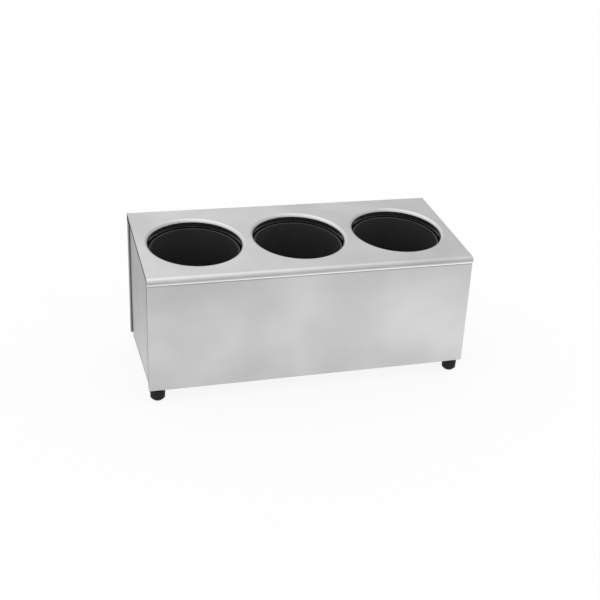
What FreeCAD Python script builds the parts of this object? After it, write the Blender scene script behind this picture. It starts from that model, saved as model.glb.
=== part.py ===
import FreeCAD, Part
import os
from math import cos, degrees, hypot, pi, radians, sin, sqrt, tan
from FreeCAD import Placement, Rotation, Vector

# A stainless cutlery dispenser: a box of folded sheet whose top slopes down to the front, with
# three round wells. A plastic cutlery cup stands square to the top under each well and lifts out
# through it. Millimetres. X runs along the front, Y to the back, Z up. The origin is under the
# middle of the object, on the surface that the feet stand on.

# Wells, and the flat metal round them, which together set the size of the top
well_radius = 63.5          # clear radius inside the collar
well_web = 19.0             # between two wells
end_margin = 15.5           # from the outer wells to the top's cut edges
front_margin = 30.5         # along the slope, from the wells to the sharp front corner
rear_margin = 34.4
slope_angle = 8.1           # degrees
collar_depth = 11.0
collar_roll = 4.5           # outside radius of the rolled rim

# Sheet of the housing
sheet = 1.0
fold_radius = 1.0           # inside radius of the plain folds
fit_gap = 0.3               # between sheets that meet without touching

# Top panel
front_bend = 7.0            # outside radius of the bend into the front lip
rear_bend = 4.0
front_lip = 2.6             # flat of the lip below its bend
rear_lip = 8.0
hem_height = 2.2            # how far the hem is turned back up inside the lip
end_inset = 3.0             # how far the end panels stand in from the top's cut edge
end_corner = 12.0           # radius of the end panels' upper corners, clear of the bends

# Cutlery cups
cup_height = 140.0
cup_clearance = 1.0         # between the cup's rim and the collar, on the radius
cup_below_collar = 1.0
cup_wall = 1.8
rim_overhang = 1.0
rim_height = 4.0
cup_shoulder = 95.0         # from the rim's top down to the shoulder that cups stack on
cup_step = 1.5              # how much narrower the cup is below its shoulder
cup_bevel = 0.8             # on the outer edges of the rim and the base
floor_bevel = 4.0           # inside, between the wall and the floor
cup_floor = 2.5
foot_ring = 3.0             # how far the floor is held up by the wall below it
drain_radius = 5.0
drain_circle = 16.0         # radius of the ring of drain holes
drain_count = 6

# Shelf that the cups stand on
seat_press = 2.0            # depth of the pressed seats
seat_clearance = 1.0        # round the cup's base
seat_gap = 0.2              # under the cup's base
seat_border = 1.0           # flat ring kept round each seat
seat_drain_margin = 1.0     # between the seat's hole and the cup's drain holes
shelf_setback = 5.0         # from the front and back panels to the shelf's legs
shelf_front_leg = 8.0       # from the flanges up to the shelf's upper face at its front leg
shelf_foot = 12.0
shelf_end_gap = 4.0

# Flanges and base
bottom_flange = 24.0
end_flange = 8.0
base_inset = 3.0
base_corner = 6.0

# Feet
foot_inset = 13.0           # from the front, back and ends of the housing to the foot's axis
rear_foot_inset = 17.0      # from the ends to the rear feet, which stand further in
foot_height = 16.0
foot_top_radius = 10.3
foot_taper = 0.5            # how much narrower the foot is where its chamfer starts
foot_chamfer = 3.5
foot_web = 5.0              # rubber between the washer and the base
foot_recess_radius = 4.3

# Fasteners
thread_radius = 2.0
hole_clearance = 0.2
nut_clearance = 0.05
nut_flats = 7.0
nut_height = 3.2
thread_past_nut = 1.0
head_radius = 3.5
head_height = 2.6
washer_radius = 4.0
washer_thickness = 0.5
shelf_screw_x = 73.0        # midway between two wells

# Places that follow from the sizes above
slope = radians(slope_angle)
well_pitch = 2 * well_radius + well_web
well_x = [-well_pitch, 0.0, well_pitch]
well_from_front = front_margin + well_radius
half_width = well_pitch + well_radius + end_margin
half_depth = (front_margin + 2 * well_radius + rear_margin) * cos(slope) / 2
base_bottom = foot_height
panel_bottom = base_bottom + sheet
flange_top = panel_bottom + sheet
panel_face = half_depth - 2 * sheet         # the panels stand behind the hems
panel_inside = panel_face - sheet
end_face = half_width - end_inset
end_inside = end_face - sheet
foot_y = half_depth - foot_inset
front_foot_x = half_width - foot_inset
rear_foot_x = half_width - rear_foot_inset
hole_radius = thread_radius + hole_clearance
shelf_leg_y = panel_inside - shelf_setback
shelf_screw_y = shelf_leg_y - shelf_foot / 2
shelf_half = end_inside - shelf_end_gap
cup_rim_radius = well_radius - cup_clearance
cup_body_radius = cup_rim_radius - rim_overhang
cup_base_radius = cup_body_radius - cup_step
cup_base_depth = collar_depth + cup_below_collar + cup_height
seat_radius = cup_base_radius + seat_clearance
seat_rim = seat_radius + seat_press
seat_hole_radius = drain_circle + drain_radius + seat_drain_margin
shelf_top_depth = cup_base_depth + seat_gap - seat_press
leg_top_z = flange_top + shelf_front_leg + shelf_top_depth / cos(slope)
foot_places = [(-front_foot_x, -foot_y), (front_foot_x, -foot_y),
               (-rear_foot_x, foot_y), (rear_foot_x, foot_y)]
shelf_places = [(x, y) for x in (-shelf_screw_x, shelf_screw_x)
                for y in (-shelf_screw_y, shelf_screw_y)]


def top_z(y):
    """Height of the top's upper face, set by the cups and by the leg of the shelf below them."""
    return leg_top_z + (y + shelf_leg_y) * tan(slope)


def underside_z(y):
    """Height of the top's lower face, its two bends included."""
    bend = rear_bend if y > 0 else front_bend
    centre = half_depth - bend
    if abs(y) < centre:
        return top_z(y) - sheet / cos(slope)
    centre_y = centre if y > 0 else -centre
    centre_z = top_z(centre_y) - bend / cos(slope)
    return centre_z + sqrt((bend - sheet) ** 2 - (y - centre_y) ** 2)


def shelf_z(y):
    """Height of the shelf's upper face."""
    return top_z(y) - shelf_top_depth / cos(slope)


def well_frame(x, depth=0.0):
    """Place on a well's axis, square to the top, at a depth below its upper face."""
    middle = Vector(x, well_from_front * cos(slope) - half_depth, 0)
    middle.z = top_z(middle.y)
    tilt = Rotation(Vector(1, 0, 0), degrees(slope))
    return Placement(middle - tilt.multVec(Vector(0, 0, depth)), tilt)


def rounded_wire(corners, place):
    """Closed wire through (a, b, radius) corners, each with a radius rounded by an arc."""
    edges = []
    ends = []
    for index, (a, b, radius) in enumerate(corners):
        corner = place(a, b)
        before = place(*corners[index - 1][:2]) - corner
        after = place(*corners[(index + 1) % len(corners)][:2]) - corner
        if radius == 0:
            ends.append((corner, corner))
            continue
        before.normalize()
        after.normalize()
        half = before.getAngle(after) / 2
        middle = (before + after).normalize()
        centre = corner + middle * (radius / sin(half))
        start = corner + before * (radius / tan(half))
        end = corner + after * (radius / tan(half))
        edges.append(Part.Arc(start, centre - middle * radius, end).toShape())
        ends.append((start, end))
    for index, (start, end) in enumerate(ends):
        previous_end = ends[index - 1][1]
        edges.append(Part.LineSegment(previous_end, start).toShape())
    return Part.Wire(Part.__sortEdges__(edges))


def side_section(corners, width):
    """Solid of a (y, z, radius) section, centred on X."""
    wire = rounded_wire(corners, lambda y, z: Vector(-width / 2, y, z))
    return Part.Face(wire).extrude(Vector(width, 0, 0))


def turned(corners):
    """Solid of revolution about Z from (radius, z, corner radius) corners."""
    wire = rounded_wire(corners, lambda r, z: Vector(r, 0, z))
    return Part.Face(wire).revolve(Vector(0, 0, 0), Vector(0, 0, 1), 360)


def folded(path):
    """Section corners of a sheet folded along a path of (y, z) points, on the path's left."""
    outer = []
    inner = []
    for index, (y, z) in enumerate(path):
        first = path[max(index - 1, 0)]
        last = path[min(index + 1, len(path) - 1)]
        into = (y - first[0], z - first[1]) if index > 0 else (last[0] - y, last[1] - z)
        out = (last[0] - y, last[1] - z) if index < len(path) - 1 else into
        into_length = hypot(*into)
        out_length = hypot(*out)
        normal_in = (-into[1] / into_length, into[0] / into_length)
        normal_out = (-out[1] / out_length, out[0] / out_length)
        share = 1 + normal_in[0] * normal_out[0] + normal_in[1] * normal_out[1]
        step_y = sheet * (normal_in[0] + normal_out[0]) / share
        step_z = sheet * (normal_in[1] + normal_out[1]) / share
        bent = 0 < index < len(path) - 1
        outer.append((y, z, fold_radius + sheet if bent else 0))
        inner.append((y + step_y, z + step_z, fold_radius if bent else 0))
    return outer + inner[::-1]


def cylinder(x, y, low, high, radius):
    return Part.makeCylinder(radius, high - low, Vector(x, y, low))


def block(low, high):
    """Box between two opposite corners."""
    size = Vector(*high) - Vector(*low)
    return Part.makeBox(size.x, size.y, size.z, Vector(*low))


def screw_holes():
    """Clearance holes of the foot screws and the shelf screws through the base and flanges."""
    tools = [cylinder(x, y, 0, flange_top + 2 * sheet, hole_radius)
             for x, y in foot_places + shelf_places]
    return Part.makeCompound(tools)


# Top panel: one sheet, bent into hemmed lips, with the wells drawn down into collars
def collar():
    """Rolled rim and collar of one well, with the top's upper face at zero."""
    flat_radius = well_radius + 2 * collar_roll
    # The hidden side of the roll is a bevel that touches the real arc at its middle
    bevel = (collar_roll - sheet) * (1 - tan(pi / 8))
    return turned([
        (flat_radius, 0, 0),
        (well_radius, 0, collar_roll),
        (well_radius, -collar_depth, 0),
        (well_radius + sheet, -collar_depth, 0),
        (well_radius + sheet, -sheet - bevel, 0),
        (well_radius + sheet + bevel, -sheet, 0),
        (flat_radius, -sheet, 0)])


def top_panel():
    front_corner = top_z(-half_depth)
    rear_corner = top_z(half_depth)
    front_edge = front_corner - front_bend * tan(pi / 4 - slope / 2) - front_lip
    rear_edge = rear_corner - rear_bend * tan(pi / 4 + slope / 2) - rear_lip
    inside = half_depth - sheet
    under = sheet / cos(slope)
    hem_round = 0.95 * sheet
    panel = side_section([
        (-half_depth, front_edge, hem_round),
        (-half_depth, front_corner, front_bend),
        (half_depth, rear_corner, rear_bend),
        (half_depth, rear_edge, hem_round),
        (panel_face, rear_edge, hem_round),
        (panel_face, rear_edge + hem_height, 0),
        (inside, rear_edge + hem_height, 0),
        (inside, top_z(inside) - under, rear_bend - sheet),
        (-inside, top_z(-inside) - under, front_bend - sheet),
        (-inside, front_edge + hem_height, 0),
        (-panel_face, front_edge + hem_height, 0),
        (-panel_face, front_edge, hem_round)], 2 * half_width)
    for x in well_x:
        opening = cylinder(0, 0, -3 * sheet, sheet, well_radius + 2 * collar_roll)
        opening.Placement = well_frame(x)
        rim = collar()
        rim.Placement = well_frame(x)
        panel = panel.cut(opening).fuse(rim)
    return panel.removeSplitter()


# Front and back panels: flat sheets with a flange turned in under the housing
def trimmed_panel(path):
    """Folded panel whose bottom flange stops short of the end panels."""
    panel = side_section(folded(path), 2 * half_width)
    flange_half = end_inside - fold_radius - fit_gap
    trim_top = flange_top + fold_radius
    for side in (-1, 1):
        x_low = min(side * flange_half, side * half_width)
        trim = block((x_low, -panel_inside, base_bottom),
                     (x_low + half_width - flange_half, panel_inside, trim_top))
        panel = panel.cut(trim)
    return panel.cut(screw_holes())


def front_panel():
    return trimmed_panel([
        (-panel_face, underside_z(-panel_face) - fit_gap),
        (-panel_face, panel_bottom),
        (-panel_face + bottom_flange, panel_bottom)])


def back_panel():
    return trimmed_panel([
        (panel_face - bottom_flange, panel_bottom),
        (panel_face, panel_bottom),
        (panel_face, underside_z(panel_face) - fit_gap)])


# End panels: four-sided pans whose flanges lie inside the top, front and back sheets
def end_outline(inset):
    """Outline of an end panel in YZ, drawn in by an inset on every side."""
    y = panel_inside - inset
    drop = (sheet + inset) / cos(slope)
    low_round = fold_radius + 2 * sheet - inset
    top_round = end_corner - inset
    corners = [
        (-y, panel_bottom + inset, low_round),
        (y, panel_bottom + inset, low_round),
        (y, top_z(y) - drop, top_round),
        (-y, top_z(-y) - drop, top_round)]
    return rounded_wire(corners, lambda a, b: Vector(0, a, b))


def pan_block(inset, start, end, edge_round):
    """Solid of an end outline between two X values, rounded along its edge at the start."""
    solid = Part.Face(end_outline(inset)).extrude(Vector(end - start, 0, 0))
    edges = [edge for edge in solid.Edges if edge.BoundBox.XMax < 0.01]
    solid = solid.makeFillet(edge_round, edges)
    solid.translate(Vector(start, 0, 0))
    return solid


def end_panel_left():
    start = -end_face
    inner_end = start + end_flange
    outside = pan_block(0, start, inner_end, fold_radius + sheet)
    hollow = pan_block(sheet, start + sheet, inner_end + sheet, fold_radius)
    panel = outside.cut(hollow)
    # The bottom flange fits between those of the front and back panels
    notch_start = start + sheet + fold_radius
    notch_top = flange_top + fold_radius + sheet
    notch_y = panel_face - bottom_flange - fit_gap
    # Relief where the upper corners would otherwise gather
    relief = end_corner * tan(pi / 4 + slope / 2) + sheet
    for side in (-1, 1):
        outer_y = side * half_depth
        low_y, high_y = sorted((side * notch_y, outer_y))
        panel = panel.cut(block((notch_start, low_y, 0), (inner_end + sheet, high_y, notch_top)))
        corner_z = underside_z(side * (panel_inside - relief))
        low_y, high_y = sorted((side * (panel_inside - relief), outer_y))
        panel = panel.cut(block((notch_start, low_y, corner_z - relief),
                                (inner_end + sheet, high_y, corner_z + relief)))
    return panel


def end_panel_right():
    return end_panel_left().mirror(Vector(0, 0, 0), Vector(1, 0, 0))


# Base panel: flat plate held under the flanges by the screws of the feet and the shelf
def base_panel():
    x = half_width - base_inset
    y = panel_face - base_inset
    corners = [(-x, -y, base_corner), (x, -y, base_corner), (x, y, base_corner),
               (-x, y, base_corner)]
    wire = rounded_wire(corners, lambda a, b: Vector(a, b, base_bottom))
    return Part.Face(wire).extrude(Vector(0, 0, sheet)).cut(screw_holes())


# Cup shelf: folded sheet parallel to the top, standing on the front and back flanges
def seat():
    """Pressed seat of one cup, with the shelf's upper face at zero."""
    border = seat_rim + seat_border
    shoulder = sheet * tan(radians(22.5))
    return turned([
        (border, 0, 0),
        (seat_rim, 0, 0),
        (seat_radius, -seat_press, 0),
        (seat_hole_radius, -seat_press, 0),
        (seat_hole_radius, -seat_press - sheet, 0),
        (seat_radius + shoulder, -seat_press - sheet, 0),
        (seat_rim + shoulder, -sheet, 0),
        (border, -sheet, 0)])


def cup_shelf():
    foot_end = shelf_leg_y - shelf_foot
    path = [
        (foot_end, flange_top),
        (shelf_leg_y, flange_top),
        (shelf_leg_y, shelf_z(shelf_leg_y)),
        (-shelf_leg_y, shelf_z(-shelf_leg_y)),
        (-shelf_leg_y, flange_top),
        (-foot_end, flange_top)]
    shelf = side_section(folded(path), 2 * shelf_half)
    # The legs stop short of the foot nuts
    leg_half = min(front_foot_x, rear_foot_x) - nut_flats - sheet
    leg_cut = flange_top + nut_height + thread_past_nut + sheet
    for side in (-1, 1):
        low_x, high_x = sorted((side * leg_half, side * half_width))
        shelf = shelf.cut(block((low_x, -half_depth, 0), (high_x, half_depth, leg_cut)))
    for x in well_x:
        frame = well_frame(x, shelf_top_depth)
        opening = cylinder(0, 0, -2 * sheet, sheet, seat_rim + seat_border)
        opening.Placement = frame
        pressed = seat()
        pressed.Placement = frame
        shelf = shelf.cut(opening).fuse(pressed)
    return shelf.removeSplitter().cut(screw_holes())


# Cutlery cup: a rim to lift it by, a stacking shoulder and a drained floor on a foot ring
def cutlery_cup(x):
    rim_low = cup_height - rim_height
    shoulder_low = cup_height - cup_shoulder
    shoulder_high = shoulder_low + cup_step
    floor_top = foot_ring + cup_floor
    upper_bore = cup_body_radius - cup_wall
    lower_bore = cup_base_radius - cup_wall
    cup = turned([
        (0, foot_ring, 0),
        (lower_bore, foot_ring, 0),
        (lower_bore, 0, 0),
        (cup_base_radius - cup_bevel, 0, 0),
        (cup_base_radius, cup_bevel, 0),
        (cup_base_radius, shoulder_low, 0),
        (cup_body_radius, shoulder_high, 0),
        (cup_body_radius, rim_low, 0),
        (cup_rim_radius, rim_low, 0),
        (cup_rim_radius, cup_height - cup_bevel, 0),
        (cup_rim_radius - cup_bevel, cup_height, 0),
        (upper_bore, cup_height, 0),
        (upper_bore, shoulder_high + cup_wall, 0),
        (lower_bore, shoulder_low + cup_wall, 0),
        (lower_bore, floor_top + floor_bevel, 0),
        (lower_bore - floor_bevel, floor_top, 0),
        (0, floor_top, 0)])
    drains = [cylinder(0, 0, 0, 2 * floor_top, drain_radius)]
    for index in range(drain_count):
        angle = 2 * pi * index / drain_count
        drains.append(cylinder(drain_circle * cos(angle), drain_circle * sin(angle),
                               0, 2 * floor_top, drain_radius))
    cup = cup.cut(Part.makeCompound(drains))
    cup.Placement = well_frame(x, cup_base_depth)
    return cup


# Rubber foot with a steel washer and a screw up into the housing
def foot(x, y):
    lower_radius = foot_top_radius - foot_taper
    tread_radius = lower_radius - foot_chamfer
    washer_seat = foot_height - foot_web
    shape = turned([
        (foot_recess_radius, 0, 0),
        (tread_radius, 0, 0),
        (lower_radius, foot_chamfer, 0),
        (foot_top_radius, foot_height, 0),
        (hole_radius, foot_height, 0),
        (hole_radius, washer_seat, 0),
        (foot_recess_radius, washer_seat, 0)])
    shape.translate(Vector(x, y, 0))
    return shape


def screw(x, y, head_bottom, tip):
    """Screw with its head down."""
    head_top = head_bottom + head_height
    head = cylinder(x, y, head_bottom, head_top, head_radius)
    return head.fuse(cylinder(x, y, head_top, tip, thread_radius))


def nut(x, y, bottom):
    corner = nut_flats / sqrt(3)
    points = [Vector(x + corner * cos(k * pi / 3), y + corner * sin(k * pi / 3), bottom)
              for k in range(7)]
    body = Part.Face(Part.makePolygon(points)).extrude(Vector(0, 0, nut_height))
    return body.cut(cylinder(x, y, bottom, bottom + nut_height, thread_radius + nut_clearance))


def washer(x, y, top):
    low = top - washer_thickness
    return cylinder(x, y, low, top, washer_radius).cut(cylinder(x, y, low, top, hole_radius))


def save(name, shape):
    shape.exportStep("parts/" + name + ".step")


os.makedirs("parts", exist_ok=True)

save("top_panel", top_panel())
save("front_panel", front_panel())
save("back_panel", back_panel())
save("end_panel_left", end_panel_left())
save("end_panel_right", end_panel_right())
save("base_panel", base_panel())
save("cup_shelf", cup_shelf())

for side_name, x in zip(("left", "centre", "right"), well_x):
    save("cutlery_cup_" + side_name, cutlery_cup(x))

foot_names = ["front_left", "front_right", "rear_left", "rear_right"]
for place_name, (x, y) in zip(foot_names, foot_places):
    save("foot_" + place_name, foot(x, y))

washer_top = foot_height - foot_web
foot_head = washer_top - washer_thickness - head_height
foot_tip = flange_top + nut_height + thread_past_nut
save("foot_washers", Part.makeCompound([washer(x, y, washer_top) for x, y in foot_places]))
save("foot_screws", Part.makeCompound([screw(x, y, foot_head, foot_tip) for x, y in foot_places]))
save("foot_nuts", Part.makeCompound([nut(x, y, flange_top) for x, y in foot_places]))

shelf_nut_low = flange_top + sheet
shelf_head = base_bottom - head_height
shelf_tip = shelf_nut_low + nut_height + thread_past_nut
save("shelf_screws", Part.makeCompound([screw(x, y, shelf_head, shelf_tip)
                                        for x, y in shelf_places]))
save("shelf_nuts", Part.makeCompound([nut(x, y, shelf_nut_low) for x, y in shelf_places]))
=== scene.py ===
from math import copysign, cos, pi, radians, sin, tan

import bmesh
import bpy
from mathutils import Matrix, Vector


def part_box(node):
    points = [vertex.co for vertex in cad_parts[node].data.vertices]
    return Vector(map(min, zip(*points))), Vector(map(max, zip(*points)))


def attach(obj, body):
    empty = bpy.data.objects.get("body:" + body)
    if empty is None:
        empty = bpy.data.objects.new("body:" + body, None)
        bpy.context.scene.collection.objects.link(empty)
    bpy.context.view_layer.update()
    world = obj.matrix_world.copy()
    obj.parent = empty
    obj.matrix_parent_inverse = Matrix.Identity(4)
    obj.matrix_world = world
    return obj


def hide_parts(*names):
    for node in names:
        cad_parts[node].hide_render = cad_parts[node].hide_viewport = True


# A brushed stainless cutlery dispenser with three round wells and black plastic cutlery cups.
# Lengths are metres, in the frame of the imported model.
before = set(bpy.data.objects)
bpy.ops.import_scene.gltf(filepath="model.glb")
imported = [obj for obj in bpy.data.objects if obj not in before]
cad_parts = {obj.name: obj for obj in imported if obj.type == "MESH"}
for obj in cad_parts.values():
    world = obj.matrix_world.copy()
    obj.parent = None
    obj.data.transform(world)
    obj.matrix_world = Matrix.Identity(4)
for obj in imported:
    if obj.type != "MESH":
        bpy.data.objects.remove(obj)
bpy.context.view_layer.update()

# How fine the meshes are
SAME_PLACE = 1e-6           # points nearer than this are one
ON_PLANE = 1e-7             # points nearer than this to a cutting plane are on it
EDGE_STEPS = 2              # segments of a small round on an edge
OUTWARD = 0.99              # cosine for a face that looks straight outwards
ROUND_STEPS = 5
FLAT_ANGLE = radians(0.5)   # faces that meet at less are one flat face
SMOOTH_ANGLE = radians(35)  # edges that turn more stay crisp
EASED_ANGLE = radians(50)   # edges that turn more get a small round

# Sheet metal
SLOPE = radians(8.1)
SHEET = 0.00097             # a hair under 1 mm, so that the two layers of a hem don't touch
CUT_EDGE_ROUND = 0.00015    # deburred cut edges
FRONT_BEND = 0.007
REAR_BEND = 0.004
FRONT_LIP = 0.0026          # flat of the lip below its bend
REAR_LIP = 0.008
HEM_RADIUS = 0.001
HEM_HEIGHT = 0.0022
BEND_STEPS = 12

# Black strip in the step along each end sheet, put there as painted shade in the joint
STRIP_WIDTH = 0.0045
STRIP_DEPTH = 0.0026        # a little under the step of 3 mm
STRIP_ROUND = 0.0004
LONG_UPRIGHT = 0.05         # taller than any part of a rounded corner
WHOLE_FACE = 0.01           # square metres, less than the end sheet's face

# Wells
WELL_RADIUS = 0.0635
COLLAR_ROLL = 0.0045
COLLAR_DEPTH = 0.011
FRONT_MARGIN = 0.0305
FLAT_RING = 0.0012          # narrow flat band round each rolled rim, which keeps its shading even
WELL_STEPS = 128

# Cutlery cups
CUP_HEIGHT = 0.140
CUP_TOP_DEPTH = 0.012       # from the top's face down to the cup's rim
CUP_RIM_RADIUS = 0.0625
CUP_BODY_RADIUS = 0.0615
CUP_BASE_RADIUS = 0.060
CUP_WALL = 0.0018
CUP_RIM_HEIGHT = 0.004
CUP_SHOULDER = 0.095
CUP_FLOOR = 0.0025
CUP_FOOT_RING = 0.003
FLOOR_ROUND = 0.004
CUP_STEP_ROUND = 0.0006     # moulded corners
CUP_RING_ROUND = 0.0005
CUP_MOUTH_ROUND = 0.0008
CUP_BASE_ROUND = 0.001
CUP_RIM_ROUND = 0.0012
DRAIN_ROUND = 0.0004
DRAIN_STEPS = 24
DRAIN_RADIUS = 0.005
DRAIN_CIRCLE = 0.016
DRAIN_COUNT = 6

# Feet and fasteners
FOOT_HEIGHT = 0.016
FOOT_TOP_RADIUS = 0.0103
FOOT_LOWER_RADIUS = 0.0098
FOOT_TREAD_RADIUS = 0.0063
FOOT_CHAMFER = 0.0035
FOOT_RECESS_RADIUS = 0.0043
FOOT_WEB = 0.005
FOOT_EDGE_ROUND = 0.0004
FOOT_RECESS_ROUND = 0.0005
FOOT_CHAMFER_ROUND = 0.0006
FOOT_STEPS = 64
SCREW_HOLE_RADIUS = 0.0022
HEAD_RADIUS = 0.0035
HEAD_HEIGHT = 0.0026
HEAD_ROUND = 0.0009
HEAD_EDGE_ROUND = 0.0003
SLOT_HALF_WIDTH = 0.0005
SLOT_HALF_LENGTH = 0.0024
SLOT_DEPTH = 0.0011
THREAD_RADIUS = 0.00198
THREAD_DEPTH = 0.0003
THREAD_PITCH = 0.0007
SCREW_STEPS = 32
NUT_EDGE_ROUND = 0.00012

# Places taken from the frame
top_low, top_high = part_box("top_panel")
half_width = top_high.x
half_depth = top_high.y
well_y = (FRONT_MARGIN + WELL_RADIUS) * cos(SLOPE) - half_depth
front_drop = FRONT_BEND * tan((pi / 2 - SLOPE) / 2) + FRONT_LIP
well_z = top_low.z + front_drop + (well_y + half_depth) * tan(SLOPE)
front_lip_low = top_low.z   # lowest line of each lip
rear_lip_low = (well_z + (half_depth - well_y) * tan(SLOPE)
                - REAR_BEND * tan((pi / 2 + SLOPE) / 2) - REAR_LIP)
CUPS = {"cutlery_cup_left": "cup_left", "cutlery_cup_centre": "cup_centre",
        "cutlery_cup_right": "cup_right"}
well_x = {node: (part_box(node)[0].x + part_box(node)[1].x) / 2 for node in CUPS}


def well_place(x, depth=0.0):
    """Frame on a well's axis, square to the sloping top, at a depth below its face."""
    return (Matrix.Translation((x, well_y, well_z)) @ Matrix.Rotation(SLOPE, 4, "X")
            @ Matrix.Translation((0, 0, -depth)))


# Mesh tools
def wire(bm, corners, shift=Vector()):
    """Wire in the XZ plane through (x, z, round) corners, each rounded over that length."""
    verts = [bm.verts.new(Vector((x, 0, z)) + shift) for x, z, _ in corners]
    for first, second in zip(verts, verts[1:]):
        bm.edges.new((first, second))
    before = set(bm.verts) - set(verts)
    for vert, (_, _, rounding) in zip(verts, corners):
        if rounding:
            bmesh.ops.bevel(bm, geom=[vert], offset=rounding, offset_type="OFFSET",
                            segments=ROUND_STEPS, profile=0.5, affect="VERTICES", material=-1)
    made = [v for v in bm.verts if v not in before]
    return made + list({e for v in made for e in v.link_edges})


def spun(bm, corners, steps, centre=Vector()):
    """Surface of a wire turned fully round the vertical through a centre."""
    geom = wire(bm, corners, centre)
    bmesh.ops.spin(bm, geom=geom, cent=centre, axis=(0, 0, 1), angle=2 * pi, steps=steps,
                   use_merge=True)


def closed_up(bm):
    """Merges what coincides and turns every face outwards."""
    bmesh.ops.remove_doubles(bm, verts=bm.verts, dist=SAME_PLACE)
    bmesh.ops.recalc_face_normals(bm, faces=bm.faces)


def lay_grain(bm, along, across):
    """UV map in metres, with U along the brushing."""
    layer = bm.loops.layers.uv.new("grain")
    for face in bm.faces:
        for loop in face.loops:
            loop[layer].uv = (along(loop.vert.co), across(loop.vert.co))


def piece(bm, name, body, material, nodes, place=None):
    """Makes the finished mesh an object that rides on its body and stands for its CAD nodes."""
    if place:
        bmesh.ops.transform(bm, matrix=place, verts=bm.verts)
    mesh = bpy.data.meshes.new(name)
    bm.to_mesh(mesh)
    bm.free()
    mesh.shade_smooth()
    mesh.set_sharp_from_angle(angle=SMOOTH_ANGLE)
    mesh.materials.append(material)
    obj = bpy.data.objects.new(name, mesh)
    bpy.context.scene.collection.objects.link(obj)
    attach(obj, body)
    if nodes:
        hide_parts(*nodes)
    return obj


def even_shading(obj):
    """Keeps flat sheet flat in its shading, next to rounded edges."""
    modifier = obj.modifiers.new("even shading", "WEIGHTED_NORMAL")
    modifier.mode = "FACE_AREA"
    modifier.weight = 100
    modifier.keep_sharp = True


def eased_edges(obj, width):
    """Small round on the sharp edges."""
    modifier = obj.modifiers.new("eased edges", "BEVEL")
    modifier.width = width
    modifier.segments = EDGE_STEPS
    modifier.limit_method = "ANGLE"
    modifier.angle_limit = EASED_ANGLE
    modifier.harden_normals = True


def from_frame(node):
    """Merged copy of a CAD node's mesh, with its flat faces whole."""
    bm = bmesh.new()
    bm.from_mesh(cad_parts[node].data)
    bmesh.ops.remove_doubles(bm, verts=bm.verts, dist=SAME_PLACE)
    bmesh.ops.dissolve_limit(bm, angle_limit=FLAT_ANGLE, use_dissolve_boundaries=False,
                             verts=bm.verts, edges=bm.edges)
    return bm


# Materials
def colour(code):
    """Linear RGBA of an sRGB hex colour."""
    values = [int(code[i:i + 2], 16) / 255 for i in (1, 3, 5)]
    linear = [v / 12.92 if v <= 0.04045 else ((v + 0.055) / 1.055) ** 2.4 for v in values]
    return (*linear, 1.0)


def add(tree, kind, settings=None, inputs=None):
    """Adds a node. An input is a value, or the output socket that it is linked from."""
    node = tree.nodes.new(kind)
    for key, value in (settings or {}).items():
        setattr(node, key, value)
    for key, value in (inputs or {}).items():
        if isinstance(value, bpy.types.NodeSocket):
            tree.links.new(value, node.inputs[key])
        else:
            node.inputs[key].default_value = value
    return node


def new_material(name):
    material = bpy.data.materials.new(name)
    material.use_nodes = True
    return material, material.node_tree, material.node_tree.nodes["Principled BSDF"]


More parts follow.
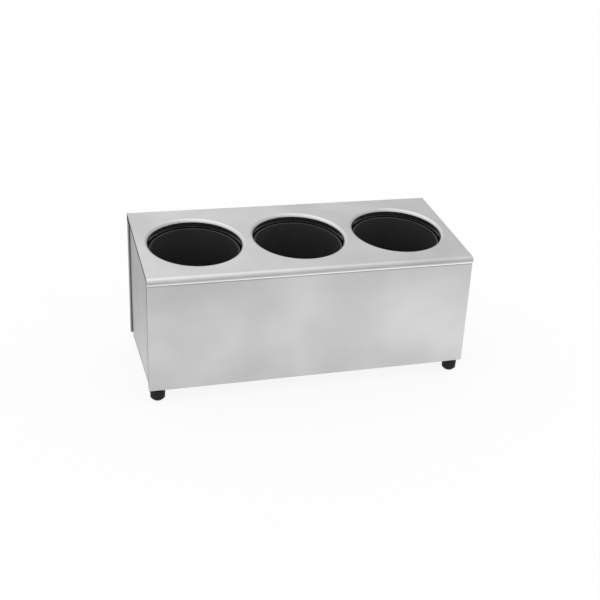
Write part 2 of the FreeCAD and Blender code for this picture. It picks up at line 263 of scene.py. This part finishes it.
def brushed_stainless():
    """Sheet brushed with a No. 4 grit belt along its length: reflections smear across the grain."""
    material, tree, shader = new_material("brushed stainless sheet, number 4 finish")
    grain = add(tree, "ShaderNodeUVMap", {"uv_map": "grain"}).outputs["UV"]
    # Belt scratches are about 0.05 mm wide. They are drawn at 0.5 mm and 1.6 mm, so that they show
    fine = add(tree, "ShaderNodeMapping", inputs={"Vector": grain, "Scale": (22, 2000, 1)})
    fine_noise = add(tree, "ShaderNodeTexNoise", {"noise_dimensions": "2D"},
                     {"Vector": fine.outputs[0], "Scale": 1.0, "Detail": 3.0, "Roughness": 0.6})
    broad = add(tree, "ShaderNodeMapping", inputs={"Vector": grain, "Scale": (7, 620, 1)})
    broad_noise = add(tree, "ShaderNodeTexNoise", {"noise_dimensions": "2D"},
                      {"Vector": broad.outputs[0], "Scale": 1.0, "Detail": 2.0})
    streaks = add(tree, "ShaderNodeMath", {"operation": "MULTIPLY_ADD"},
                  {0: broad_noise.outputs["Fac"], 1: 0.6, 2: fine_noise.outputs["Fac"]})
    # Rolled sheet is never quite flat or even: soft clouds, about 100 mm across
    cloud = add(tree, "ShaderNodeTexNoise", {"noise_dimensions": "2D"},
                {"Vector": grain, "Scale": 10.0, "Detail": 2.0, "Roughness": 0.5})
    # Drawing and folding rub the collars and hems smooth; their paler colour there is a painted
    # highlight
    polish_and_highlight = add(tree, "ShaderNodeAttribute", {"attribute_name": "polish_and_highlight"}).outputs["Fac"]
    # Painted shade: the colour darkens towards near black within 3 mm of other surfaces, in seams
    # and under the lips
    crevice_occlusion = add(tree, "ShaderNodeAmbientOcclusion", {"samples": 12}, {"Distance": 0.0028})
    unshaded = add(tree, "ShaderNodeMapRange", inputs={
        "Value": crevice_occlusion.outputs["AO"], "From Min": 0.55, "From Max": 0.99})

    streak_tone = add(tree, "ShaderNodeMapRange", inputs={
        "Value": streaks.outputs[0], "From Min": 0.4, "From Max": 1.2, "To Min": 0.0,
        "To Max": 0.25})
    cloud_tone = add(tree, "ShaderNodeMapRange", inputs={
        "Value": cloud.outputs["Fac"], "From Min": 0.3, "From Max": 0.7, "To Min": 0.0,
        "To Max": 0.75})
    tone = add(tree, "ShaderNodeMath", inputs={0: streak_tone.outputs[0], 1: cloud_tone.outputs[0]})
    shade = add(tree, "ShaderNodeMix", {"data_type": "RGBA"}, {
        0: tone.outputs[0], 6: colour("#C0C0C0"), 7: colour("#D2D2D2")})
    # Painted highlight: collars and hem folds take a pale #F2F2F2 in place of the brushed tone
    painted_highlight = add(tree, "ShaderNodeMix", {"data_type": "RGBA"}, {
        0: polish_and_highlight, 6: shade.outputs[2], 7: colour("#F2F2F2")})
    # Painted shade: near-black #1F1F1F is mixed in where the occlusion is deep
    painted_crevice_shade = add(tree, "ShaderNodeMix", {"data_type": "RGBA"}, {
        0: unshaded.outputs[0], 6: colour("#1F1F1F"), 7: painted_highlight.outputs[2]})

    rough = add(tree, "ShaderNodeMapRange", inputs={
        "Value": streaks.outputs[0], "From Min": 0.45, "From Max": 1.15, "To Min": 0.25,
        "To Max": 0.30})
    cloudy_rough = add(tree, "ShaderNodeMath", {"operation": "MULTIPLY_ADD"},
                       {0: cloud.outputs["Fac"], 1: 0.06, 2: rough.outputs[0]})
    smooth = add(tree, "ShaderNodeMix", {"data_type": "FLOAT"}, {
        0: polish_and_highlight, 2: cloudy_rough.outputs[0], 3: 0.14})
    bump = add(tree, "ShaderNodeBump", inputs={
        "Height": fine_noise.outputs["Fac"], "Strength": 0.12, "Distance": 0.00002})
    wave = add(tree, "ShaderNodeBump", inputs={
        "Height": cloud.outputs["Fac"], "Strength": 0.3, "Distance": 0.0008,
        "Normal": bump.outputs[0]})
    tangent = add(tree, "ShaderNodeTangent", {"direction_type": "UV_MAP", "uv_map": "grain"})
    shader.inputs["Metallic"].default_value = 1.0
    shader.inputs["Anisotropic"].default_value = 0.5
    shader.inputs["Anisotropic Rotation"].default_value = 0.25
    tree.links.new(painted_crevice_shade.outputs[2], shader.inputs["Base Color"])
    tree.links.new(smooth.outputs[0], shader.inputs["Roughness"])
    tree.links.new(wave.outputs[0], shader.inputs["Normal"])
    tree.links.new(tangent.outputs[0], shader.inputs["Tangent"])
    return material


def mottled(name, dark, light, roughness, grit, bump_height, metallic=0.0, specular=0.5):
    """Finish without a grain: a mottle whose size is the grit, in metres."""
    material, tree, shader = new_material(name)
    place = add(tree, "ShaderNodeTexCoord").outputs["Object"]
    spots = add(tree, "ShaderNodeTexNoise", inputs={
        "Vector": place, "Scale": 1 / grit, "Detail": 3.0, "Roughness": 0.6})
    # Soft patches about 22 mm across
    patches = add(tree, "ShaderNodeTexNoise", inputs={
        "Vector": place, "Scale": 45.0, "Detail": 2.0})
    shade = add(tree, "ShaderNodeMix", {"data_type": "RGBA"}, {
        0: patches.outputs["Fac"], 6: colour(dark), 7: colour(light)})
    rough = add(tree, "ShaderNodeMapRange", inputs={
        "Value": spots.outputs["Fac"], "From Min": 0.3, "From Max": 0.7,
        "To Min": roughness - 0.05, "To Max": roughness + 0.06})
    bump = add(tree, "ShaderNodeBump", inputs={
        "Height": spots.outputs["Fac"], "Strength": 0.5, "Distance": bump_height})
    shader.inputs["Metallic"].default_value = metallic
    shader.inputs["Specular IOR Level"].default_value = specular
    tree.links.new(shade.outputs[2], shader.inputs["Base Color"])
    tree.links.new(rough.outputs[0], shader.inputs["Roughness"])
    tree.links.new(bump.outputs[0], shader.inputs["Normal"])
    return material


steel = brushed_stainless()
# Cold-rolled 2B sheet inside the housing: even, grey and a little milky
mill_steel = mottled("mill finish stainless sheet", "#B9B9B7", "#C6C6C4", 0.40, 0.0006, 0.000004,
                     metallic=1.0)
# Bright zinc plate: pale blue-grey with a fine crystalline mottle
zinc = mottled("zinc plated steel", "#AEB3B8", "#C3C7CA", 0.34, 0.0004, 0.000005, metallic=1.0)
# Injection-moulded polypropylene with a fine spark-eroded texture, greyed by dishwashing
cup_plastic = mottled("moulded black polypropylene", "#313132", "#3E3E3F", 0.52, 0.0005, 0.00001,
                      specular=0.3)
# Moulded rubber: dull, with a slight bloom
rubber = mottled("moulded black rubber", "#141415", "#1F1F20", 0.62, 0.0007, 0.00002,
                 specular=0.25)
# Black strip in the joints round the ends, painted shade where the joint lies in shadow: smooth,
# with a soft shine
joint_shade_black = mottled("black painted joint shade", "#101011", "#1A1A1B", 0.45, 0.0008, 0.00001,
                  specular=0.3)


# Top: one sheet, with its wells drawn down and its edges bent into hemmed lips
def run(bm, edge, step):
    """Carries the sheet straight on from an edge."""
    out = bmesh.ops.extrude_edge_only(bm, edges=[edge])
    new_verts = [g for g in out["geom"] if isinstance(g, bmesh.types.BMVert)]
    bmesh.ops.translate(bm, verts=new_verts, vec=step)
    return next(e for e in bm.edges if set(e.verts) == set(new_verts))


def bend(bm, edge, inward, radius, angle):
    """Carries the sheet round a bend whose centre lies inward of an edge."""
    centre = edge.verts[0].co + inward * radius
    out = bmesh.ops.spin(bm, geom=[edge, *edge.verts], cent=centre, axis=(1, 0, 0), angle=angle,
                         steps=BEND_STEPS)
    return next(g for g in out["geom_last"] if isinstance(g, bmesh.types.BMEdge))


def hemmed_lip(bm, edge, side, turn, radius, flat):
    """Bends the top's edge down by a turn and folds its end back inside."""
    angle = -side * turn
    down = Matrix.Rotation(angle, 3, "X") @ Vector((0, side, 0))
    inward = Matrix.Rotation(angle, 3, "X") @ Vector((0, 0, -1))
    edge = bend(bm, edge, Vector((0, 0, -1)), radius, angle)
    edge = run(bm, edge, down * (flat - HEM_RADIUS))
    edge = bend(bm, edge, inward, HEM_RADIUS, -side * pi)
    run(bm, edge, -down * (HEM_HEIGHT - HEM_RADIUS))


def flat_pattern(point):
    """Where a point of the formed top lay on the flat brushed sheet."""
    for x in well_x.values():
        offset = Vector((point.x - x, point.y))
        if offset.length < WELL_RADIUS + COLLAR_ROLL:
            return Vector((x, 0)) + offset * (1 + point.z / offset.length)
    return Vector((point.x, point.y + copysign(point.z, point.y)))


def smoothed_and_painted_bright(point):
    """How far a point of the formed top is smoothed and given a painted highlight: on the collars
    and on the hems' folds.
    """
    if point.z > -HEM_HEIGHT:
        return 0.0
    for x in well_x.values():
        if Vector((point.x - x, point.y)).length < WELL_RADIUS + COLLAR_ROLL:
            return min(1.0, -point.z / COLLAR_ROLL)
    height = (well_place(0.0) @ point).z - (front_lip_low if point.y < 0 else rear_lip_low)
    return min(1.0, max(0.0, (FRONT_LIP - height) / (FRONT_LIP - HEM_RADIUS)))


def top_sheet():
    bm = bmesh.new()
    ring_radius = WELL_RADIUS + COLLAR_ROLL + FLAT_RING
    for x in well_x.values():
        spun(bm, [(ring_radius, 0, 0), (WELL_RADIUS, 0, COLLAR_ROLL),
                  (WELL_RADIUS, -COLLAR_DEPTH, 0)], WELL_STEPS, Vector((x, 0, 0)))
    rims = [e for e in bm.edges if e.is_boundary and abs(e.verts[0].co.z) < SAME_PLACE]
    front_turn = pi / 2 - SLOPE
    rear_turn = pi / 2 + SLOPE
    front = -(FRONT_MARGIN + WELL_RADIUS) + FRONT_BEND * tan(front_turn / 2)
    rear = (half_depth - well_y) / cos(SLOPE) - REAR_BEND * tan(rear_turn / 2)
    corners = [bm.verts.new(p) for p in ((-half_width, front, 0), (half_width, front, 0),
                                         (half_width, rear, 0), (-half_width, rear, 0))]
    border = [bm.edges.new((corners[i - 1], corners[i])) for i in range(4)]
    bmesh.ops.triangle_fill(bm, use_beauty=True, use_dissolve=False, edges=rims + border)
    hemmed_lip(bm, border[1], -1, front_turn, FRONT_BEND, FRONT_LIP)
    hemmed_lip(bm, border[3], 1, rear_turn, REAR_BEND, REAR_LIP)
    closed_up(bm)
    flat = max(bm.faces, key=lambda f: f.calc_area())
    if flat.normal.z < 0:
        bmesh.ops.reverse_faces(bm, faces=bm.faces)
    cut_edges = [e for e in bm.edges if e.is_boundary]
    bmesh.ops.solidify(bm, geom=bm.faces[:], thickness=SHEET)
    bmesh.ops.bevel(bm, geom=cut_edges, offset=CUT_EDGE_ROUND, offset_type="OFFSET",
                    segments=EDGE_STEPS, profile=0.5, affect="EDGES", clamp_overlap=False,
                    material=-1)
    lay_grain(bm, lambda p: flat_pattern(p).x, lambda p: flat_pattern(p).y)
    # Smoothness and painted highlight, per point
    polish_and_highlight = bm.verts.layers.float.new("polish_and_highlight")
    for vert in bm.verts:
        vert[polish_and_highlight] = smoothed_and_painted_bright(vert.co)
    top = piece(bm, "top_sheet", "housing", steel, ["top_panel"],
                place=well_place(0.0))
    even_shading(top)


# Panels: the brushing runs level on each, and follows the sheet round its folds
def panel(node, name, along, across):
    bm = from_frame(node)
    lay_grain(bm, along, across)
    obj = piece(bm, name, "housing", steel, [node])
    eased_edges(obj, CUT_EDGE_ROUND)
    even_shading(obj)


def panels():
    panel("front_panel", "front_sheet", lambda p: p.x, lambda p: p.z - p.y)
    panel("back_panel", "back_sheet", lambda p: p.x, lambda p: p.z + p.y)
    for side, name in ((-1, "left"), (1, "right")):
        face = side * max(abs(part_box("end_panel_" + name)[0].x),
                          abs(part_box("end_panel_" + name)[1].x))
        panel("end_panel_" + name, "end_sheet_" + name,
              lambda p, face=face: p.y + copysign(abs(face - p.x), p.y),
              lambda p, face=face: p.z + abs(face - p.x))


def painted_shade_strip(name, side):
    """Black strip of painted shade under the top's end and down behind the front sheet's edge."""
    bm = from_frame("end_panel_" + name)
    outline = max((f for f in bm.faces if f.normal.x * side > OUTWARD), key=lambda f: f.calc_area())
    bmesh.ops.delete(bm, geom=[f for f in bm.faces if f is not outline], context="FACES")
    bmesh.ops.inset_region(bm, faces=bm.faces[:], thickness=STRIP_WIDTH, use_boundary=True,
                           use_even_offset=True)
    low = min(v.co.z for v in bm.verts)
    unwanted = []
    for face in bm.faces:
        heights = [v.co.z for v in face.verts]
        rear_upright = (face.calc_center_median().y > 0
                        and max(heights) - min(heights) > LONG_UPRIGHT)
        along_base = max(heights) < low + 2 * STRIP_WIDTH
        if face.calc_area() > WHOLE_FACE or rear_upright or along_base:
            unwanted.append(face)
    bmesh.ops.delete(bm, geom=unwanted, context="FACES")
    out = bmesh.ops.extrude_face_region(bm, geom=bm.faces[:], use_keep_orig=True)
    raised = [g for g in out["geom"] if isinstance(g, bmesh.types.BMVert)]
    bmesh.ops.translate(bm, verts=raised, vec=(side * STRIP_DEPTH, 0, 0))
    closed_up(bm)
    strip = piece(bm, "painted_shade_strip_" + name, "housing", joint_shade_black, [])
    eased_edges(strip, STRIP_ROUND)


def inner_sheets():
    """Base plate and cup shelf, of plain mill-finish sheet."""
    for node, name in (("base_panel", "base_plate"), ("cup_shelf", "cup_shelf_sheet")):
        obj = piece(from_frame(node), name, "housing", mill_steel, [node])
        eased_edges(obj, CUT_EDGE_ROUND)
        even_shading(obj)


# Cutlery cups: moulded, with a rim to lift them by, a stacking shoulder and a drained floor
def drain_holes(bm, z):
    """Edges of the drain holes in the floor at a height, one loop after another."""
    places = [(0.0, 0.0)]
    for index in range(DRAIN_COUNT):
        angle = 2 * pi * index / DRAIN_COUNT
        places.append((DRAIN_CIRCLE * cos(angle), DRAIN_CIRCLE * sin(angle)))
    loops = []
    for x, y in places:
        verts = bmesh.ops.create_circle(bm, segments=DRAIN_STEPS, radius=DRAIN_RADIUS,
                                        matrix=Matrix.Translation((x, y, z)))["verts"]
        loops.append(list({e for v in verts for e in v.link_edges}))
    return loops


def cutlery_cup(node, body, x):
    bm = bmesh.new()
    upper_bore = CUP_BODY_RADIUS - CUP_WALL
    lower_bore = CUP_BASE_RADIUS - CUP_WALL
    floor_top = CUP_FOOT_RING + CUP_FLOOR
    rim_low = CUP_HEIGHT - CUP_RIM_HEIGHT
    shoulder = CUP_HEIGHT - CUP_SHOULDER
    step = CUP_BODY_RADIUS - CUP_BASE_RADIUS
    floor_edge = lower_bore - 2 * FLOOR_ROUND
    spun(bm, [
        (floor_edge, floor_top, 0),
        (lower_bore, floor_top, FLOOR_ROUND),
        (lower_bore, shoulder + CUP_WALL, CUP_STEP_ROUND),
        (upper_bore, shoulder + step + CUP_WALL, CUP_STEP_ROUND),
        (upper_bore, CUP_HEIGHT, CUP_MOUTH_ROUND),
        (CUP_RIM_RADIUS, CUP_HEIGHT, CUP_RIM_ROUND),
        (CUP_RIM_RADIUS, rim_low, CUP_STEP_ROUND),
        (CUP_BODY_RADIUS, rim_low, CUP_MOUTH_ROUND),
        (CUP_BODY_RADIUS, shoulder + step, CUP_STEP_ROUND),
        (CUP_BASE_RADIUS, shoulder, CUP_STEP_ROUND),
        (CUP_BASE_RADIUS, 0, CUP_BASE_ROUND),
        (lower_bore, 0, CUP_RING_ROUND),
        (lower_bore, CUP_FOOT_RING, CUP_STEP_ROUND),
        (floor_edge, CUP_FOOT_RING, 0)], WELL_STEPS)
    closed_up(bm)
    borders = [e for e in bm.edges if e.is_boundary]
    upper_holes = drain_holes(bm, floor_top)
    lower_holes = drain_holes(bm, CUP_FOOT_RING)
    for z, holes in ((floor_top, upper_holes), (CUP_FOOT_RING, lower_holes)):
        border = [e for e in borders if abs(e.verts[0].co.z - z) < SAME_PLACE]
        bmesh.ops.triangle_fill(bm, use_beauty=True, use_dissolve=False,
                                edges=border + [e for hole in holes for e in hole])
    for upper, lower in zip(upper_holes, lower_holes):
        bmesh.ops.bridge_loops(bm, edges=upper + lower)
    closed_up(bm)
    rims = [e for hole in upper_holes + lower_holes for e in hole if e.is_valid]
    bmesh.ops.bevel(bm, geom=rims, offset=DRAIN_ROUND, offset_type="OFFSET",
                    segments=EDGE_STEPS, profile=0.5, affect="EDGES", material=-1)
    cup = piece(bm, node.replace("cutlery_cup", "moulded_cup"), body,
                cup_plastic, [node], place=well_place(x, CUP_TOP_DEPTH + CUP_HEIGHT))
    even_shading(cup)


# Rubber feet
def rubber_foot(node):
    low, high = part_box(node)
    bm = bmesh.new()
    seat = FOOT_HEIGHT - FOOT_WEB
    corners = [
        (FOOT_RECESS_RADIUS, 0, FOOT_RECESS_ROUND),
        (FOOT_TREAD_RADIUS, 0, FOOT_EDGE_ROUND),
        (FOOT_LOWER_RADIUS, FOOT_CHAMFER, FOOT_CHAMFER_ROUND),
        (FOOT_TOP_RADIUS, FOOT_HEIGHT, FOOT_EDGE_ROUND),
        (SCREW_HOLE_RADIUS, FOOT_HEIGHT, 0),
        (SCREW_HOLE_RADIUS, seat, 0),
        (FOOT_RECESS_RADIUS, seat, 0)]
    # The wire starts and ends in the middle of the recess, so that its corners are all rounded
    middle = (FOOT_RECESS_RADIUS, seat / 2, 0)
    spun(bm, [middle] + corners + [middle], FOOT_STEPS)
    closed_up(bm)
    foot = piece(bm, node.replace("foot", "rubber_foot"), "housing", rubber,
                 [node], place=Matrix.Translation(((low.x + high.x) / 2, (low.y + high.y) / 2, 0)))
    even_shading(foot)


# Fasteners
def screw(bm, x, y, low, tip):
    """Slotted pan-head screw with its head down and its thread drawn as rings."""
    head_top = low + HEAD_HEIGHT
    corners = [(0, low, 0), (HEAD_RADIUS, low, HEAD_ROUND),
               (HEAD_RADIUS, head_top, HEAD_EDGE_ROUND), (THREAD_RADIUS, head_top, 0)]
    z = head_top + THREAD_PITCH
    while z < tip - THREAD_PITCH:
        corners.append((THREAD_RADIUS, z, 0))
        corners.append((THREAD_RADIUS - THREAD_DEPTH, z + THREAD_PITCH / 2, 0))
        z += THREAD_PITCH
    corners += [(THREAD_RADIUS - THREAD_DEPTH, tip, 0), (0, tip, 0)]
    one = bmesh.new()
    spun(one, corners, SCREW_STEPS)
    closed_up(one)
    for axis, limit in ((Vector((1, 0, 0)), SLOT_HALF_WIDTH), (Vector((0, 1, 0)), SLOT_HALF_LENGTH)):
        for side in (-1, 1):
            flat = [f for f in one.faces if f.calc_center_median().z < low + SAME_PLACE]
            geom = (flat + list({e for f in flat for e in f.edges})
                    + list({v for f in flat for v in f.verts}))
            bmesh.ops.bisect_plane(one, geom=geom, dist=ON_PLANE, plane_co=axis * limit * side,
                                   plane_no=axis)
    slot = [f for f in one.faces if f.calc_center_median().z < low + SAME_PLACE
            and abs(f.calc_center_median().x) < SLOT_HALF_WIDTH
            and abs(f.calc_center_median().y) < SLOT_HALF_LENGTH]
    out = bmesh.ops.extrude_face_region(one, geom=slot)
    bmesh.ops.delete(one, geom=slot, context="FACES")
    slot_floor = [g for g in out["geom"] if isinstance(g, bmesh.types.BMVert)]
    bmesh.ops.translate(one, verts=slot_floor, vec=(0, 0, SLOT_DEPTH))
    closed_up(one)
    bmesh.ops.translate(one, verts=one.verts, vec=(x, y, 0))
    mesh = bpy.data.meshes.new("one screw")
    one.to_mesh(mesh)
    one.free()
    bm.from_mesh(mesh)
    bpy.data.meshes.remove(mesh)


def screws(node, name):
    """The four screws of a node, at the corners of its box."""
    low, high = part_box(node)
    bm = bmesh.new()
    for x in (low.x + HEAD_RADIUS, high.x - HEAD_RADIUS):
        for y in (low.y + HEAD_RADIUS, high.y - HEAD_RADIUS):
            screw(bm, x, y, low.z, high.z)
    piece(bm, name, "housing", zinc, [node])


def fasteners():
    screws("foot_screws", "slotted_foot_screws")
    screws("shelf_screws", "slotted_shelf_screws")
    for node, name in (("foot_nuts", "hexagon_foot_nuts"), ("shelf_nuts", "hexagon_shelf_nuts"),
                       ("foot_washers", "plain_foot_washers")):
        obj = piece(from_frame(node), name, "housing", zinc, [node])
        eased_edges(obj, NUT_EDGE_ROUND)


top_sheet()
panels()
painted_shade_strip("left", -1)
painted_shade_strip("right", 1)
inner_sheets()
for node, body in CUPS.items():
    cutlery_cup(node, body, well_x[node])
for row in ("front", "rear"):
    for side in ("left", "right"):
        rubber_foot("foot_" + row + "_" + side)
fasteners()


# Floor and soft studio light
FLOOR_HALF_SIZE = 8.0
FLOOR_GLOW = 0.87           # share of the floor that glows. The rest is lit, and takes shadow
TENT_LIGHT = 0.93           # strength of the tent, except in the metal and to the camera
SOFTBOX_SPREAD = radians(70)
SOFTBOX_STRENGTH = 0.25
SOFTBOX_TILT = (radians(-12), radians(-14), 0)


# Pale floor. It is white to the camera, and keeps the object's shadow
def floor():
    material, tree, shader = new_material("pale floor")
    shader.inputs["Base Color"].default_value = colour("#FAFAFA")
    shader.inputs["Roughness"].default_value = 0.9
    shader.inputs["Specular IOR Level"].default_value = 0.0
    # The metal shows it brighter to the right, and dimmer far ahead and behind
    spot = add(tree, "ShaderNodeSeparateXYZ", inputs={
        0: add(tree, "ShaderNodeTexCoord").outputs["Object"]})
    rightward = add(tree, "ShaderNodeMapRange", inputs={
        "Value": spot.outputs["X"], "From Min": -0.3, "From Max": 0.45, "To Min": 1.02,
        "To Max": 1.22})
    backward = add(tree, "ShaderNodeMapRange", inputs={
        "Value": spot.outputs["Y"], "From Min": -0.32, "From Max": 0.3, "To Min": 1.0,
        "To Max": 0.5})
    ahead = add(tree, "ShaderNodeMapRange", inputs={
        "Value": spot.outputs["Y"], "From Min": -0.75, "From Max": -0.32, "To Min": 0.62,
        "To Max": 1.1})
    depthwise = add(tree, "ShaderNodeMath", {"operation": "MULTIPLY"}, {
        0: backward.outputs[0], 1: ahead.outputs[0]})
    mirrored = add(tree, "ShaderNodeMath", {"operation": "MULTIPLY"}, {
        0: rightward.outputs[0], 1: depthwise.outputs[0]})
    path = add(tree, "ShaderNodeLightPath")
    strength = add(tree, "ShaderNodeMix", {"data_type": "FLOAT"}, {
        0: path.outputs["Is Camera Ray"], 2: mirrored.outputs[0], 3: 1.0})
    glow = add(tree, "ShaderNodeEmission", inputs={
        "Color": colour("#FFFFFF"), "Strength": strength.outputs[0]})
    seen = add(tree, "ShaderNodeMath", {"operation": "MAXIMUM"}, {
        0: path.outputs["Is Camera Ray"], 1: path.outputs["Is Glossy Ray"]})
    share = add(tree, "ShaderNodeMath", {"operation": "MULTIPLY"}, {
        0: seen.outputs[0], 1: FLOOR_GLOW})
    mixed = add(tree, "ShaderNodeMixShader", inputs={
        0: share.outputs[0], 1: shader.outputs[0], 2: glow.outputs[0]})
    tree.links.new(mixed.outputs[0], tree.nodes["Material Output"].inputs["Surface"])
    bm = bmesh.new()
    bmesh.ops.create_grid(bm, x_segments=1, y_segments=1, size=FLOOR_HALF_SIZE)
    mesh = bpy.data.meshes.new("floor")
    bm.to_mesh(mesh)
    bm.free()
    mesh.materials.append(material)
    obj = bpy.data.objects.new("floor", mesh)
    bpy.context.scene.collection.objects.link(obj)


# White tent with one large softbox overhead
def studio():
    world = bpy.data.worlds.new("white tent")
    bpy.context.scene.world = world
    world.use_nodes = True
    tree = world.node_tree
    background = tree.nodes["Background"]
    aim = add(tree, "ShaderNodeSeparateXYZ", inputs={
        0: add(tree, "ShaderNodeTexCoord").outputs["Generated"]})
    # The metal shows a tent that is dimmer low down and to the right, and brightest overhead
    low = add(tree, "ShaderNodeMapRange", {"interpolation_type": "SMOOTHSTEP"}, {
        "Value": aim.outputs["Z"], "From Min": 0.0, "From Max": 0.5, "To Min": 0.62,
        "To Max": 1.02})
    overhead = add(tree, "ShaderNodeMapRange", {"interpolation_type": "SMOOTHSTEP"}, {
        "Value": aim.outputs["Z"], "From Min": 0.62, "From Max": 0.95, "To Min": 0.0,
        "To Max": 0.28})
    sideways = add(tree, "ShaderNodeMapRange", inputs={
        "Value": aim.outputs["X"], "From Min": 0.05, "From Max": 0.5, "To Min": 1.0,
        "To Max": 0.76})
    upper = add(tree, "ShaderNodeMath", inputs={0: low.outputs[0], 1: overhead.outputs[0]})
    tent = add(tree, "ShaderNodeMath", {"operation": "MULTIPLY"}, {
        0: upper.outputs[0], 1: sideways.outputs[0]})
    path = add(tree, "ShaderNodeLightPath")
    lit = add(tree, "ShaderNodeMix", {"data_type": "FLOAT"}, {
        0: path.outputs["Is Glossy Ray"], 2: TENT_LIGHT, 3: tent.outputs[0]})
    strength = add(tree, "ShaderNodeMix", {"data_type": "FLOAT"}, {
        0: path.outputs["Is Camera Ray"], 2: lit.outputs[0], 3: 1.0})
    tree.links.new(strength.outputs[0], background.inputs["Strength"])
    background.inputs["Color"].default_value = colour("#FFFFFF")
    lamp = bpy.data.lights.new("overhead softbox", "SUN")
    lamp.angle = SOFTBOX_SPREAD
    lamp.energy = SOFTBOX_STRENGTH
    obj = bpy.data.objects.new("overhead softbox", lamp)
    obj.rotation_euler = SOFTBOX_TILT
    bpy.context.scene.collection.objects.link(obj)


# Camera at the photograph's angle, for a square frame of 600 pixels
FRAME_PIXELS = 600
FOCAL_PIXELS = 968.4
CAMERA_AZIMUTH = -0.3063
CAMERA_ELEVATION = 0.4142
CAMERA_ROLL = 0.0460
CAMERA_DISTANCE = 1.3914
CAMERA_TARGET = Vector((0.0069, 0.0, 0.08975))


def camera():
    back = Vector((sin(CAMERA_AZIMUTH) * cos(CAMERA_ELEVATION),
                   -cos(CAMERA_AZIMUTH) * cos(CAMERA_ELEVATION), sin(CAMERA_ELEVATION)))
    right = Vector((cos(CAMERA_AZIMUTH), sin(CAMERA_AZIMUTH), 0))
    up = back.cross(right)
    turned_right = right * cos(CAMERA_ROLL) + up * sin(CAMERA_ROLL)
    turned_up = up * cos(CAMERA_ROLL) - right * sin(CAMERA_ROLL)
    data = bpy.data.cameras.new("camera")
    data.lens = FOCAL_PIXELS * data.sensor_width / FRAME_PIXELS
    obj = bpy.data.objects.new("camera", data)
    turn = Matrix((turned_right, turned_up, back)).transposed().to_4x4()
    obj.matrix_world = Matrix.Translation(CAMERA_TARGET + back * CAMERA_DISTANCE) @ turn
    bpy.context.scene.collection.objects.link(obj)
    bpy.context.scene.camera = obj


floor()
studio()
camera()
bpy.context.scene.view_settings.view_transform = "Standard"
